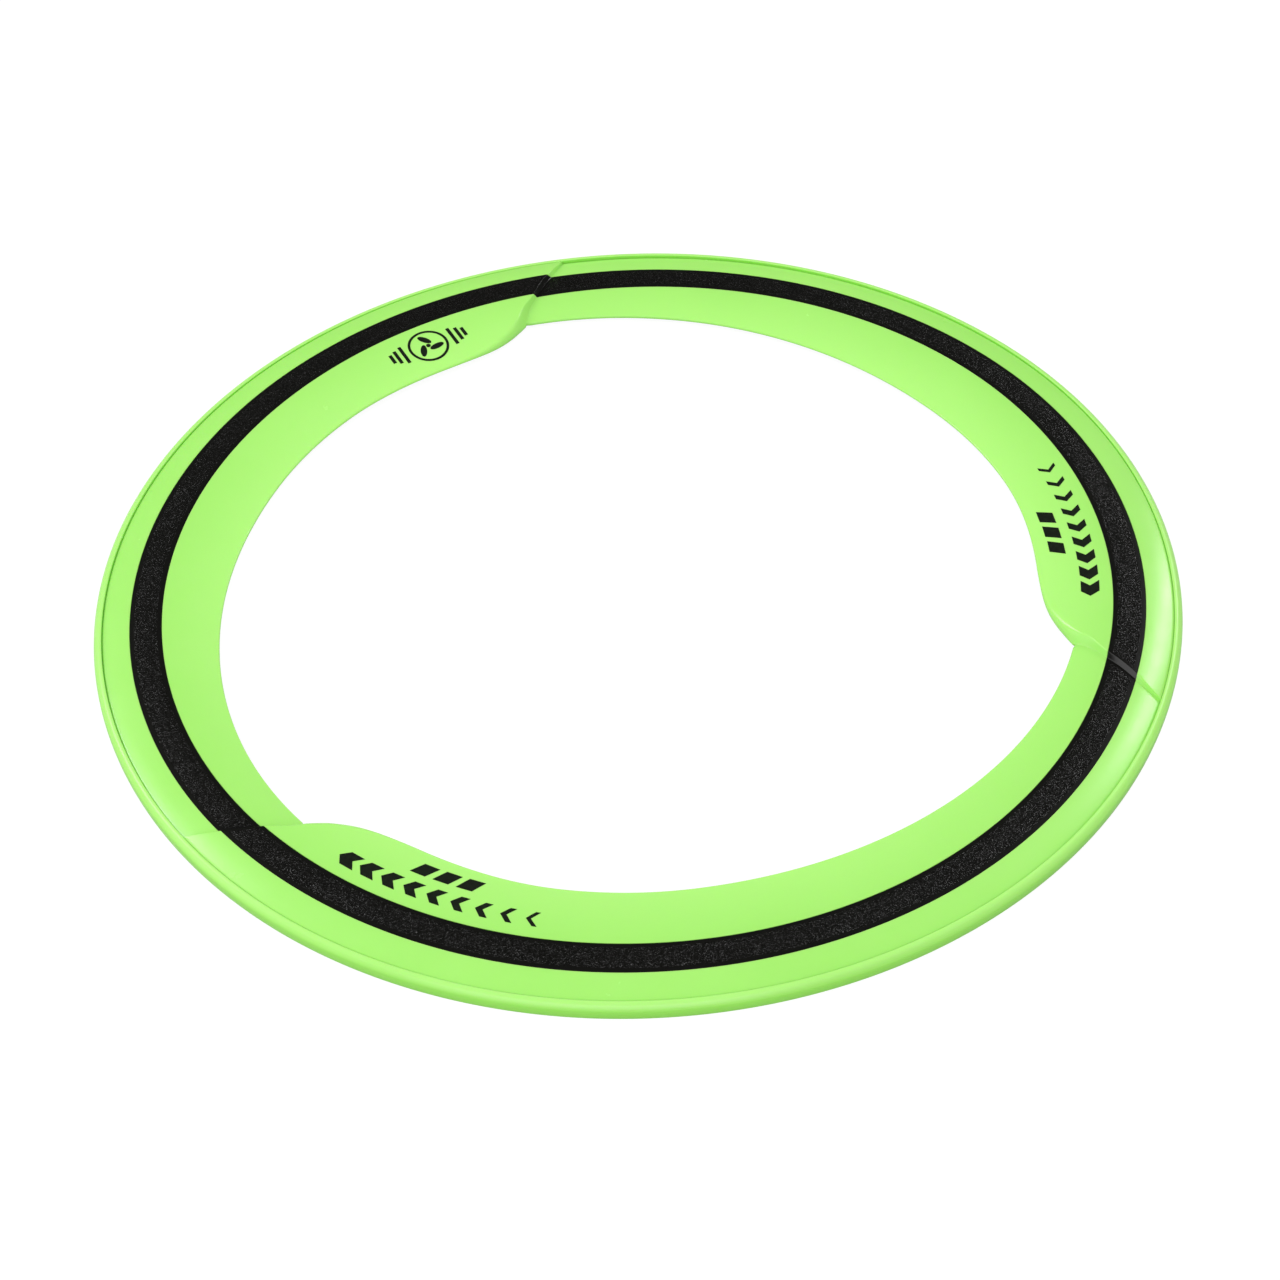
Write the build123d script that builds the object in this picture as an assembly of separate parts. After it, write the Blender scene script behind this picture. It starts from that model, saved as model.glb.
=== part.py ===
from build123d import *

import os
from math import cos, radians, sin

# Flying ring for throwing and catching: a thin, wide plastic ring with three identical
# pitched blades.  Seen from above each blade starts at a raised, slanted leading edge and
# ramps down counter-clockwise until it ends at the foot of the next blade's leading edge.
# A soft rim runs all round the outside, a black grip band is let into the crest of every
# blade, and a dark printed mark lies on the wide inner part of every blade.
#
# Frame: millimetres, +Z up, origin at the ring's centre on the plane that it rests on.
# Angles t are degrees counter-clockwise from a blade's leading edge at the groove.

# ---- driving dimensions ----------------------------------------------------------------
BLADE_COUNT = 3
PITCH = 360 / BLADE_COUNT          # degrees from one leading edge to the next
FIRST_JOINT = 97.3                 # degrees: first leading edge, at the groove

RIM_R = 165.0                      # outside of the soft rim
GROOVE_R = 162.4                   # where the hard blades meet the soft rim
CREST_R = 149.0                    # highest circle of each blade
BAND_INNER_R = 144.2
BAND_OUTER_R = 153.9

CREST_Z = 6.99                     # crest height at a leading edge
STEP = 1.50                        # how much the crest falls along one blade
GROOVE_Z = 5.08                    # blade height beside the rim, at a leading edge
GROOVE_FALL = 1.05                 # how much that falls along one blade
INNER_Z = 3.22                     # blade height at the inner edge, at a leading edge
INNER_FALL = 0.80                  # how much that falls along one blade
OUTER_POWER = 2.2                  # how the surface falls from the crest to the rim
INNER_POWER = 1.8                  # and from the crest to the inner edge

BULGE_R = 122.6                    # inner edge, just behind the leading corner
BULGE_STEP = 1.3                   # the inner edge moves out by this over the bulge
BULGE_SPAN = (19, 41)              # t where that starts and ends
TAPER = 11.0                       # it moves out by this towards the tail
TAPER_SPAN = (59, 143)             # t where that starts, and would end

BASE_Z = 1.1                       # underside of the hoop and of the leading lip
HOOP_WALL = 1.5                    # upright wall just inside the groove
SHELL_T = 2.2                      # shell thickness from the crest outwards
EDGE_T = 1.4                       # shell thickness at the inner edge
WEB_TURN = 1.0                     # degrees: thickness of the web under a step

RIM_TOP = 5.25
RIM_BULGE = 0.25                   # how far the rim's side bows out
RIM_CORNER = 0.7                   # rounding of the rim's two outer corners
RIM_LIP = 0.3                      # rounding of its two inner corners
RIM_FOOT_R = 160.9                 # inside of the rim's foot, under the hoop
TONGUE_R = 163.9                   # hard tongue that the soft rim grips
TONGUE_BOTTOM = 2.1
TONGUE_T = 1.2
KEY_COUNT = 24                     # notches that lock the rim to the tongue
KEY_WIDTH = 4.0
KEY_HEIGHT = 4.8                   # cut right through the tongue

BAND_T = 0.8                       # depth of the grip band
BAND_SKIN = 0.35                   # degrees: band thickness over the leading bevel

PRINT_T = 0.10                     # thickness of a printed mark
CHEVRON_R = 137.5                  # long row of chevrons, which point at the leading edge
CHEVRON_COUNT = 9
CHEVRON_START = 15.5               # t of the first one
CHEVRON_PITCH = 3.0                # degrees
CHEVRON_H = 5.5
CHEVRON_DEPTH = 2.2                # how far the point runs ahead of the ends
CHEVRON_WIDE = 4.6                 # stroke of the first one
CHEVRON_NARROW = 1.4               # and of the last one
BLOCK_R = 129.5                    # short row of slanted blocks
BLOCK_COUNT = 3
BLOCK_START = 23.4
BLOCK_PITCH = 3.1
BLOCK_H = 4.6
BLOCK_W = 4.8
SPINNER_R = 134.2                  # round mark with three vanes
SPINNER_T = 22.4
SPINNER_RADIUS = 7.0
SPINNER_LINE = 0.9                 # width of its ring
VANE_LENGTH = 5.2
VANE_WIDTH = 2.2
VANE_OFFSET = 2.9                  # from the mark's centre to a vane's
VANE_SLANT = 35
HUB_RADIUS = 0.8
DASH_OFFSETS = (9.2, 11.6, 13.6)   # bars beside the round mark, from its centre
DASH_W = 1.2
DASH_H = 8.0                       # first bar; each next one is shorter
DASH_STEP = 2.0

SECTION_STEP = 12                  # degrees between a blade's lofted sections
SECTION_START = -12
SECTION_END = 132
STATION_OFFSETS = (-3, 0, 4, 9)    # points of a section's curve, from the crest outwards
INNER_STEPS = 6                    # steps between the points of an inner edge's curve
MARGIN = 2.0                       # lofts run past the edges that trim them by this
LOW_Z = -3.0                       # cutting solids reach down to this height
HIGH_Z = 7.2                       # and trimming solids up to this height
PRINT_HIGH_Z = 8.2                 # columns that cut out a mark reach up to this height

# Leading edge and bulged corner of a blade, as (radius, t).  The upper line is the crisp
# edge of the top surface, and the lower one is the foot of the bevel in front of it.
UPPER_LINE = ((GROOVE_R, 0), (154, 2.45), (144.3, 5), (135.2, 8), (132, 9.5), (127.8, 12.6))
LOWER_LINE = ((GROOVE_R, 0), (154, 0.9), (144.3, 3.3), (134, 6.8), (129.1, 9.5), (125.6, 12.4))
CORNER_END = 22                    # t where the bulged corner has joined the inner edge
TAIL_END = 129                     # t where a blade has ended inside the next one
TAIL_SLANT = 6                     # degrees: the end slants by this towards the rim


# ---- surface of one blade --------------------------------------------------------------
def smooth(t, start, end):
    """Smooth step from 0 at start to 1 at end."""
    x = min(max((t - start) / (end - start), 0), 1)
    return x * x * (3 - 2 * x)


def inner_radius(t):
    return BULGE_R + BULGE_STEP * smooth(t, *BULGE_SPAN) + TAPER * smooth(t, *TAPER_SPAN)


def surface_height(r, t):
    """Height of the blade's upper surface, an arch that is highest at the crest."""
    crest = CREST_Z - STEP * t / PITCH
    if r > CREST_R:
        fall = crest - GROOVE_Z + GROOVE_FALL * t / PITCH
        return crest - fall * ((r - CREST_R) / (GROOVE_R - CREST_R)) ** OUTER_POWER
    fall = crest - INNER_Z + INNER_FALL * t / PITCH
    return crest - fall * ((CREST_R - r) / (CREST_R - inner_radius(t))) ** INNER_POWER


def shell_thickness(r):
    return EDGE_T + (SHELL_T - EDGE_T) * smooth(r, BULGE_R, CREST_R)


def polar(r, t, z=0.0):
    """Point at a radius and an angle past the first leading edge."""
    a = radians(FIRST_JOINT + t)
    return Vector(r * cos(a), r * sin(a), z)


def mass_under_surface(drop, base):
    """Solid from the plane z = base up to the blade's surface lowered by drop(r)."""
    sections = []
    for i in range((SECTION_END - SECTION_START) // SECTION_STEP + 1):
        t = SECTION_START + i * SECTION_STEP
        start = inner_radius(t) - MARGIN
        middle = (start + CREST_R) / 2
        stations = [start, middle] + [CREST_R + offset for offset in STATION_OFFSETS] + [RIM_R]
        top = [polar(r, t, surface_height(r, t) - drop(r)) for r in stations]
        foot_in = polar(start, t, base)
        foot_out = polar(RIM_R, t, base)
        edges = [Edge.make_spline(top)]
        edges.append(Edge.make_line(top[-1], foot_out))
        edges.append(Edge.make_line(foot_out, foot_in))
        edges.append(Edge.make_line(foot_in, top[0]))
        sections.append(Face(Wire(edges)))
    return loft(sections)


def blade_outline(line, z, turn=0.0, outer_r=GROOVE_R, inner_offset=0.0):
    """Outline of a blade in plan, with its leading line turned back by some degrees."""
    lead = [polar(r, t + turn, z) for r, t in line]
    lead[0] = polar(outer_r, turn, z)
    inner = []
    for i in range(INNER_STEPS + 1):
        t = CORNER_END + i * (TAIL_END - CORNER_END) / INNER_STEPS
        inner.append(polar(inner_radius(t) - inner_offset, t, z))
    tail_end = TAIL_END - TAIL_SLANT
    tail = polar(outer_r, tail_end, z)
    middle = polar(outer_r, (turn + tail_end) / 2, z)
    edges = [Edge.make_spline(lead)]
    edges.append(Edge.make_spline([lead[-1]] + inner))
    edges.append(Edge.make_line(inner[-1], tail))
    edges.append(Edge.make_three_point_arc(tail, middle, lead[0]))
    return Wire(edges)


def blade_prism(turn=0.0, outer_r=GROOVE_R, low=BASE_Z, inner_offset=0.0):
    """Trimming solid of a blade, whose wall leans forward along the leading line."""
    lower = blade_outline(LOWER_LINE, low, turn, outer_r, inner_offset)
    upper = blade_outline(UPPER_LINE, HIGH_Z, turn, outer_r, inner_offset)
    return Solid.make_loft([lower, upper], ruled=True)


def turned(shape, blade):
    """Copy of the first blade's shape at another blade's place."""
    return Rot(0, 0, blade * PITCH) * shape


def annulus(inner_r, outer_r, low, high):
    ring = Cylinder(outer_r, high - low) - Cylinder(inner_r, high - low)
    return Pos(0, 0, (low + high) / 2) * ring


# ---- pieces ----------------------------------------------------------------------------
def tongue():
    """Notched ring round the blades that the soft rim is moulded onto."""
    top = TONGUE_BOTTOM + TONGUE_T
    ring = annulus(GROOVE_R, TONGUE_R, TONGUE_BOTTOM, top)
    key_depth = 2 * (TONGUE_R - GROOVE_R)
    for i in range(KEY_COUNT):
        key = Pos(TONGUE_R, 0, TONGUE_BOTTOM) * Box(key_depth, KEY_WIDTH, KEY_HEIGHT)
        ring = ring - Rot(0, 0, i * 360 / KEY_COUNT) * key
    return ring


def grip_band(blade, neighbours):
    """Black skin along the crest that also wraps down over the leading bevel."""
    core = mass_under_surface(lambda r: BAND_T, LOW_Z)
    core = core & blade_prism(BAND_SKIN, TONGUE_R, LOW_Z, 2 * MARGIN)
    skin = (blade - core) & annulus(BAND_INNER_R, BAND_OUTER_R, 0, HIGH_Z)
    for other in neighbours:
        skin = skin - other
    return skin


def blade_ring(blade, bands):
    """The hard moulding: three blades over one hollow, webs under the steps, and a hoop."""
    ring = blade + turned(blade, 1) + turned(blade, 2) + tongue()
    hollow = mass_under_surface(shell_thickness, LOW_Z)
    hollow = hollow & blade_prism(WEB_TURN, GROOVE_R - HOOP_WALL, LOW_Z, 2 * MARGIN)
    for k in range(BLADE_COUNT):
        ring = ring - turned(hollow, k) - bands[k]
    return ring


def rim_bumper(tongue_ring):
    """Soft rim: a bead with a bowed side, a flat foot and a slot that holds the tongue."""
    side = RIM_R - RIM_BULGE
    bow = Edge.make_three_point_arc((side, 0, 0), (RIM_R, 0, RIM_TOP / 2), (side, 0, RIM_TOP))
    corners = [(side, 0, RIM_TOP), (GROOVE_R, 0, RIM_TOP), (GROOVE_R, 0, BASE_Z)]
    corners += [(RIM_FOOT_R, 0, BASE_Z), (RIM_FOOT_R, 0, 0), (side, 0, 0)]
    straights = [Edge.make_line(a, b) for a, b in zip(corners, corners[1:])]
    profile = Face(Wire([bow] + straights))
    outer = [v for v in profile.vertices() if v.X > TONGUE_R]
    profile = profile.fillet_2d(RIM_CORNER, outer)
    lips = [v for v in profile.vertices() if on_lip(v)]
    profile = profile.fillet_2d(RIM_LIP, lips)
    return revolve(profile, Axis.Z) - tongue_ring


def on_lip(vertex):
    """True at the two inner corners of the bead's profile."""
    top = vertex.X < GROOVE_R + RIM_LIP and vertex.Z > RIM_TOP - RIM_LIP
    foot = vertex.X < RIM_FOOT_R + RIM_LIP and vertex.Z < RIM_LIP
    return top or foot


# ---- printed marks ---------------------------------------------------------------------
def placed(shape, r, t):
    """Flat shape turned so that its x runs outwards and its y counter-clockwise."""
    return Rot(0, 0, FIRST_JOINT + t) * Pos(r, 0, 0) * shape


def chevron_row():
    shapes = []
    half = CHEVRON_H / 2
    for i in range(CHEVRON_COUNT):
        wide = CHEVRON_WIDE + (CHEVRON_NARROW - CHEVRON_WIDE) * i / (CHEVRON_COUNT - 1)
        ends = [(half, 0), (0, -CHEVRON_DEPTH), (-half, 0)]
        back = [(-half, wide), (0, wide - CHEVRON_DEPTH), (half, wide)]
        chevron = Polygon(*(ends + back), align=None)
        shapes.append(placed(chevron, CHEVRON_R, CHEVRON_START + i * CHEVRON_PITCH))
    return shapes


def block_row():
    shapes = []
    slant = CHEVRON_DEPTH / 2
    for i in range(BLOCK_COUNT):
        corners = [(BLOCK_H / 2, -slant), (BLOCK_H / 2, BLOCK_W - slant)]
        corners += [(-BLOCK_H / 2, BLOCK_W + slant), (-BLOCK_H / 2, slant)]
        block = Polygon(*corners, align=None)
        shapes.append(placed(block, BLOCK_R, BLOCK_START + i * BLOCK_PITCH))
    return shapes


def spinner():
    shapes = [Circle(SPINNER_RADIUS) - Circle(SPINNER_RADIUS - SPINNER_LINE)]
    shapes.append(Circle(HUB_RADIUS))
    vane = Rot(0, 0, VANE_SLANT) * Ellipse(VANE_LENGTH / 2, VANE_WIDTH / 2)
    for i in range(BLADE_COUNT):
        shapes.append(Rot(0, 0, i * PITCH) * Pos(VANE_OFFSET, 0, 0) * vane)
    for i, offset in enumerate(DASH_OFFSETS):
        dash = Rectangle(DASH_H - i * DASH_STEP, DASH_W)
        shapes.append(Pos(0, offset, 0) * dash)
        shapes.append(Pos(0, -offset, 0) * dash)
    return [placed(shape, SPINNER_R, SPINNER_T) for shape in shapes]


def printed_mark(shapes):
    """Film of ink on the blade's surface in the given flat shapes."""
    over = mass_under_surface(lambda r: -PRINT_T, BASE_Z)
    under = mass_under_surface(lambda r: 0, BASE_Z)
    film = []
    for shape in shapes:
        column = extrude(shape, amount=PRINT_HIGH_Z, dir=(0, 0, 1))
        film += ((column & over) - under).solids()
    return Compound(children=film)


# ---- model -----------------------------------------------------------------------------
blade = mass_under_surface(lambda r: 0, BASE_Z) & blade_prism()
first_band = grip_band(blade, [turned(blade, -1), turned(blade, 1)])
bands = [turned(first_band, k) for k in range(BLADE_COUNT)]
row_mark = printed_mark(chevron_row() + block_row())

parts = {
    "blade_ring": blade_ring(blade, bands),
    "rim_bumper": rim_bumper(tongue()),
    "print_mark_1": printed_mark(spinner()),
    "print_mark_2": turned(row_mark, 1),
    "print_mark_3": turned(row_mark, 2),
}
for k in range(BLADE_COUNT):
    parts[f"grip_band_{k + 1}"] = bands[k]

os.makedirs("parts", exist_ok=True)
for name, shape in parts.items():
    export_step(shape, f"parts/{name}.step")
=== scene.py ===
import math

import bmesh
import bpy
import numpy as np
from mathutils import Matrix, Vector


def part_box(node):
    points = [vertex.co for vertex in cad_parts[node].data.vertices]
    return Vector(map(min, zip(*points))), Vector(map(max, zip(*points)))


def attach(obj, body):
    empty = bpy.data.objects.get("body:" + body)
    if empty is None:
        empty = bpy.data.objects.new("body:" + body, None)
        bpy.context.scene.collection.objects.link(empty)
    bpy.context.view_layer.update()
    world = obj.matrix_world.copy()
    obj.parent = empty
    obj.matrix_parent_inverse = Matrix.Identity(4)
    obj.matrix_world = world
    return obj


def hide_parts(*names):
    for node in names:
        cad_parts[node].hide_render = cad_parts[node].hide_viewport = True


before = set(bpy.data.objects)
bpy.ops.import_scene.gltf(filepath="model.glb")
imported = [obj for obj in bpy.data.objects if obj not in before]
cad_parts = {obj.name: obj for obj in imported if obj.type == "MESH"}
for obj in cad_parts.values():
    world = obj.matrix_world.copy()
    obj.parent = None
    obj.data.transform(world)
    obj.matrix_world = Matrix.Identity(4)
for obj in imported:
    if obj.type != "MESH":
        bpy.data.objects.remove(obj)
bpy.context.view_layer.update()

# Looks of a thin throwing ring with three pitched blades.  Shapes are worked out in
# millimetres in the part's own frame and turned into metres when a mesh is made.
# An angle t is in degrees counter-clockwise from a blade's leading edge at the groove, and
# a plan point is (r, t).  Every blade is the first one turned by PITCH.

MM = 0.001


# ---- sizes taken from the frame --------------------------------------------------------
def node_box(name):
    low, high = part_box(name)
    return np.array(low) / MM, np.array(high) / MM


RIM_R = node_box("rim_bumper")[1][0]
RIM_TOP = node_box("rim_bumper")[1][2]
CREST_Z = node_box("grip_band_1")[1][2]
BASE_Z = node_box("blade_ring")[0][2]
TONGUE_R = node_box("blade_ring")[1][0]

# ---- sizes in proportion to them -------------------------------------------------------
BLADES = 3
PITCH = 360 / BLADES
FIRST_JOINT = 97.3       # degrees from +X to the first leading edge, at the groove

GROOVE_R = RIM_R - 2.6
CREST_R = RIM_R - 16.0
BAND_OUTER_R = RIM_R - 11.1
BAND_INNER_R = RIM_R - 20.8
BULGE_R = RIM_R - 42.4

STEP = 1.50              # fall of the crest along a blade
GROOVE_Z = 5.08          # blade height beside the rim at its leading edge, and its fall
GROOVE_FALL = 1.05
INNER_Z = 3.22           # blade height at the inner edge, and its fall
INNER_FALL = 0.80
OUTER_POWER = 2.2        # how the surface falls from the crest to the rim
INNER_POWER = 1.8        # and from the crest to the inner edge
BULGE_STEP = 1.3         # the inner edge moves out by this over the bulge
BULGE_SPAN = (19, 41)    # t where that starts and ends
TAPER = 11.0             # it moves out by this towards the tail
TAPER_SPAN = (59, 143)   # t where that starts, and would end
SHELL_T = 2.2            # shell thickness from the crest outwards, and at the inner edge
EDGE_T = 1.2
HOOP_R = GROOVE_R - 1.5  # inside of the upright wall under the groove
BAND_T = 0.8             # depth of the recess for a grip band


def smooth(x, start, end):
    x = np.clip((np.asarray(x, float) - start) / (end - start), 0, 1)
    return x * x * (3 - 2 * x)


def inner_radius(t):
    return BULGE_R + BULGE_STEP * smooth(t, *BULGE_SPAN) + TAPER * smooth(t, *TAPER_SPAN)


def surface_height(r, t):
    """Height of a blade's upper surface, an arch that is highest at the crest."""
    r, t = np.asarray(r, float), np.asarray(t, float)
    crest = CREST_Z - STEP * t / PITCH
    outer = crest - GROOVE_Z + GROOVE_FALL * t / PITCH
    inner = crest - INNER_Z + INNER_FALL * t / PITCH
    out = np.clip((r - CREST_R) / (GROOVE_R - CREST_R), 0, None) ** OUTER_POWER
    into = np.clip((CREST_R - r) / (CREST_R - inner_radius(t)), 0, None) ** INNER_POWER
    return crest - outer * out - inner * into


def shell_thickness(r):
    return EDGE_T + (SHELL_T - EDGE_T) * smooth(r, BULGE_R, CREST_R)


# ---- outline of a blade ----------------------------------------------------------------
# Foot of the leading bevel and the bulged corner, as (distance inside the groove, t, width
# of the bevel in plan).
OUTLINE = (
    (0.0, 0.0, 0.25), (4.0, 0.85, 0.8), (8.4, 1.9, 1.48), (13.4, 3.3, 1.42),
    (18.1, 4.55, 1.35), (21.4, 5.55, 1.6), (23.9, 6.25, 2.1), (26.4, 6.8, 2.6),
    (28.8, 7.3, 2.9), (30.9, 8.3, 2.9), (33.3, 9.6, 2.7), (35.2, 10.9, 2.5),
    (36.8, 12.3, 2.2), (38.1, 14.0, 1.9), (39.0, 16.0, 1.6), (39.6, 18.6, 1.3),
)
LEAD_END_T = 21.0        # where the corner has become the inner edge
LEAD_END_W = 1.1         # width of the bevel there
SPAN_STEPS = 24          # points of a leading line from one of those to the next
TAIL_CROSS_R = GROOVE_R - 28.8   # where a leading edge leaves the tail in front of it
EDGE_ROUND = 0.50        # width of the rounding along the thin inner edge
EDGE_WIDER = 0.35        # extra width of it at the bulged corner, up to this t
EDGE_WIDER_T = 32
NOSE_DROP = 0.45         # from the surface at the inner edge down to the middle of the nose
EDGE_INSET = 0.9         # how far the underside's edge lies inside the outline
WEB_FLAT = 2.3           # width of the web's underside
WEB_WALL = 0.45          # plan width of the wall behind it
WEB_GAP = 0.06           # from the web's underside up to the shell of the tail in front
LIP_Z = 0.95             # underside of the bulged corner's lip
EXTEND = 1.2             # how far a tail runs on inside the next blade


def catmull(points, per_span):
    """Smooth curve through control points, by the Catmull-Rom formula."""
    p = np.array(points, float)
    p = np.vstack([2 * p[0] - p[1], p, 2 * p[-1] - p[-2]])
    out = []
    for i in range(1, len(p) - 2):
        for u in np.arange(per_span) / per_span:
            a = 2 * p[i] + (p[i + 1] - p[i - 1]) * u
            b = (2 * p[i - 1] - 5 * p[i] + 4 * p[i + 1] - p[i + 2]) * u * u
            c = (3 * p[i] - p[i - 1] - 3 * p[i + 1] + p[i + 2]) * u ** 3
            out.append((a + b + c) / 2)
    out.append(p[-2])
    return np.array(out)


def leading_lines():
    """Dense arrays of the outline and of the top edge that runs behind it."""
    control = [(GROOVE_R - d, t, w) for d, t, w in OUTLINE]
    control.append((float(inner_radius(LEAD_END_T)), LEAD_END_T, LEAD_END_W))
    line = catmull(control, SPAN_STEPS)
    r, t, w = line.T
    a = np.radians(t)
    x, y = r * np.cos(a), r * np.sin(a)
    along = np.stack([np.gradient(x), np.gradient(y)], 1)
    along /= np.linalg.norm(along, axis=1)[:, None]
    # inward normal: the line runs towards the centre with the blade on its left
    normal = np.stack([-along[:, 1], along[:, 0]], 1)
    outward = np.stack([np.cos(a), np.sin(a)], 1)
    around = np.stack([-np.sin(a), np.cos(a)], 1)
    normal *= np.sign(np.sum(normal * around, 1))[:, None]
    square = smooth(r, TAIL_CROSS_R + 2, BAND_INNER_R)[:, None]
    radial = smooth(t, 15, LEAD_END_T)[:, None]
    push = normal * (1 - square) + around * square
    push = push * (1 - radial) + outward * radial
    push /= np.linalg.norm(push, axis=1)[:, None]
    top_x, top_y = x + w * push[:, 0], y + w * push[:, 1]
    top_r = np.hypot(top_x, top_y)
    top_t = np.degrees(np.arctan2(top_y, top_x))
    top_r[0], top_t[0] = GROOVE_R, math.degrees(w[0] / GROOVE_R)
    return {"out_r": r, "out_t": t, "top_r": np.minimum.accumulate(top_r), "top_t": top_t}


LEAD = leading_lines()


def on_lead(radius, name):
    """Value of one of the leading lines' arrays where the top edge has a given radius."""
    return np.interp(-np.asarray(radius, float), -LEAD["top_r"], LEAD[name])


def foot_angle(radius):
    """Angle of the bevel's foot at a radius."""
    return np.interp(-np.asarray(radius, float), -LEAD["out_r"], LEAD["out_t"])


def inner_top_radius(t):
    """Radius at which the top surface starts to round over into the inner edge."""
    wider = EDGE_WIDER * (1 - smooth(t, LEAD_END_T, EDGE_WIDER_T))
    return inner_radius(t) + EDGE_ROUND + wider


def tail_height(r, t):
    """Height of the blade in front, with its rounded inner edge, under a leading edge."""
    r, t = np.asarray(r, float), np.asarray(t, float) + PITCH
    in_r = inner_radius(t)
    x = np.clip((r - in_r) / EDGE_ROUND, 0, 1)
    roll = NOSE_DROP * (1 - np.sqrt(1 - (1 - x) ** 2))
    return surface_height(np.maximum(r, in_r), t) - roll


def nose_height(t):
    """Height of the middle of the free nose, from the tail round the corner."""
    low = tail_height(inner_radius(PITCH), 0)
    high = surface_height(inner_radius(t), t) - NOSE_DROP
    return low + (high - low) * smooth(t, 6, LEAD_END_T)


# ---- mesh helpers ----------------------------------------------------------------------
CREASE = 30              # degrees of bend from which an edge is shaded sharp


def to_xyz(r, t, z, blade=0):
    a = np.radians(FIRST_JOINT + np.asarray(t, float) + blade * PITCH)
    r = np.asarray(r, float)
    return np.stack([r * np.cos(a), r * np.sin(a), z + 0 * r], -1) * MM


def grid_faces(rows, columns, base=0):
    """Quads of a grid of vertices that is stored column by column."""
    faces = []
    for c in range(columns - 1):
        for i in range(rows - 1):
            a = base + c * rows + i
            b = a + rows
            faces.append((a, a + 1, b + 1, b))
    return faces


def hoop_faces(count, columns, base=0):
    """Quads between the closed sections of a full turn, stored one after the other."""
    faces = []
    for c in range(columns):
        here, there = base + c * count, base + (c + 1) % columns * count
        for i in range(count):
            j = (i + 1) % count
            faces.append((here + i, here + j, there + j, there + i))
    return faces


def slab_faces(rows, columns, base=0):
    """Faces of a closed slab: an upper grid, a lower one stored after it, and the sides."""
    total = rows * columns
    faces = grid_faces(rows, columns, base)
    faces += [face[::-1] for face in grid_faces(rows, columns, base + total)]
    loop = list(range(rows))
    loop += [c * rows + rows - 1 for c in range(1, columns)]
    loop += [(columns - 1) * rows + i for i in range(rows - 2, -1, -1)]
    loop += [c * rows for c in range(columns - 2, 0, -1)]
    for k, p in enumerate(loop):
        a, b = base + p, base + loop[(k + 1) % len(loop)]
        faces.append((a, b, b + total, a + total))
    return faces


def add_object(name, mesh, crease):
    """Smooth-shaded object whose edges stay sharp where it bends by crease degrees."""
    mesh.shade_smooth()
    mesh.set_sharp_from_angle(angle=math.radians(crease))
    obj = bpy.data.objects.new(name, mesh)
    bpy.context.scene.collection.objects.link(obj)
    return obj


def make_object(name, points, faces, crease=CREASE):
    """Object from points and faces, with coincident points merged and normals outwards."""
    mesh = bpy.data.meshes.new(name)
    mesh.from_pydata([tuple(p) for p in points], [], faces)
    bm = bmesh.new()
    bm.from_mesh(mesh)
    bmesh.ops.remove_doubles(bm, verts=bm.verts, dist=1e-7)
    bmesh.ops.dissolve_degenerate(bm, edges=bm.edges, dist=1e-8)
    bmesh.ops.recalc_face_normals(bm, faces=bm.faces)
    bm.to_mesh(mesh)
    bm.free()
    return add_object(name, mesh, crease)


# ---- blades ----------------------------------------------------------------------------
# A blade's upper and lower sheets are grids of rows, which run along the blade, and columns,
# which run from the groove inwards.  Strips of rows close them along the whole outline.
LEAD_U = (np.arange(40) / 40) ** 1.3     # shares of the columns that fan out of the edge
LEAD_SPAN_T = 30         # t where the radial columns start
TAIL_SPAN_T = 100        # and where they end
TAIL_COLUMNS = 24
LIP_WIDTH = 0.4          # the surface rounds down by LIP_DROP over this beside the groove
LIP_DROP = 0.3
LIP_POWER = 2.5
TOP_OUTER = np.concatenate([
    GROOVE_R - np.array([0, 0.08, 0.2, 0.4, 0.8, 1.6, 2.8, 4.2, 5.6, 7.0, 8.0]),
    BAND_OUTER_R + np.array([0.2, 0.05, 0.0]),
    np.linspace(BAND_OUTER_R - 1, BAND_INNER_R + 1, 6),
    BAND_INNER_R - np.array([0.0, 0.05]),
])
RECESSED = (TOP_OUTER <= BAND_OUTER_R) & (TOP_OUTER >= BAND_INNER_R)
INNER_COUNT = 26         # rows inside the band, closer together towards the inner edge
INNER_F = 1 - (1 - np.arange(1, INNER_COUNT + 1) / INNER_COUNT) ** 1.5
INNER_START = BAND_INNER_R - 0.05
BOTTOM_OUTER = np.concatenate([
    [GROOVE_R, GROOVE_R - 0.25, HOOP_R + 0.1, HOOP_R - 0.08],
    np.linspace(HOOP_R - 1, INNER_START, len(TOP_OUTER) - 4),
])
ROWS = len(TOP_OUTER) + INNER_COUNT
NOSE_ROWS = 10           # rows of the strip from the top edge to the outline
UNDER_ROWS = 3           # and from the outline to the underside
TAIL_GAP = 0.06          # a tail's end stays this far inside the next blade's outside
FOOT_RISE = 0.25         # the hoop's foot is bevelled by this at its outer edge


def row_radii(outer_rows, inner_end):
    """Row radii of one column whose surface ends at radius inner_end."""
    return np.concatenate([outer_rows, INNER_START - INNER_F * (INNER_START - inner_end)])


def column_ends():
    """Kind, share and inner end angle of every column along a blade."""
    first = float(LEAD["top_t"][-1])
    ends = [("lead", u, first + u * (LEAD_SPAN_T - first)) for u in LEAD_U]
    for t in range(LEAD_SPAN_T, TAIL_SPAN_T + 1):
        ends.append(("body", 0.0, float(t)))
    last = PITCH + float(foot_angle(TAIL_CROSS_R)) + 0.5
    for u in np.concatenate([np.linspace(0.04, 0.96, TAIL_COLUMNS), [1.0]]):
        ends.append(("tail", u, TAIL_SPAN_T + u * (last - TAIL_SPAN_T)))
    return ends


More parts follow.
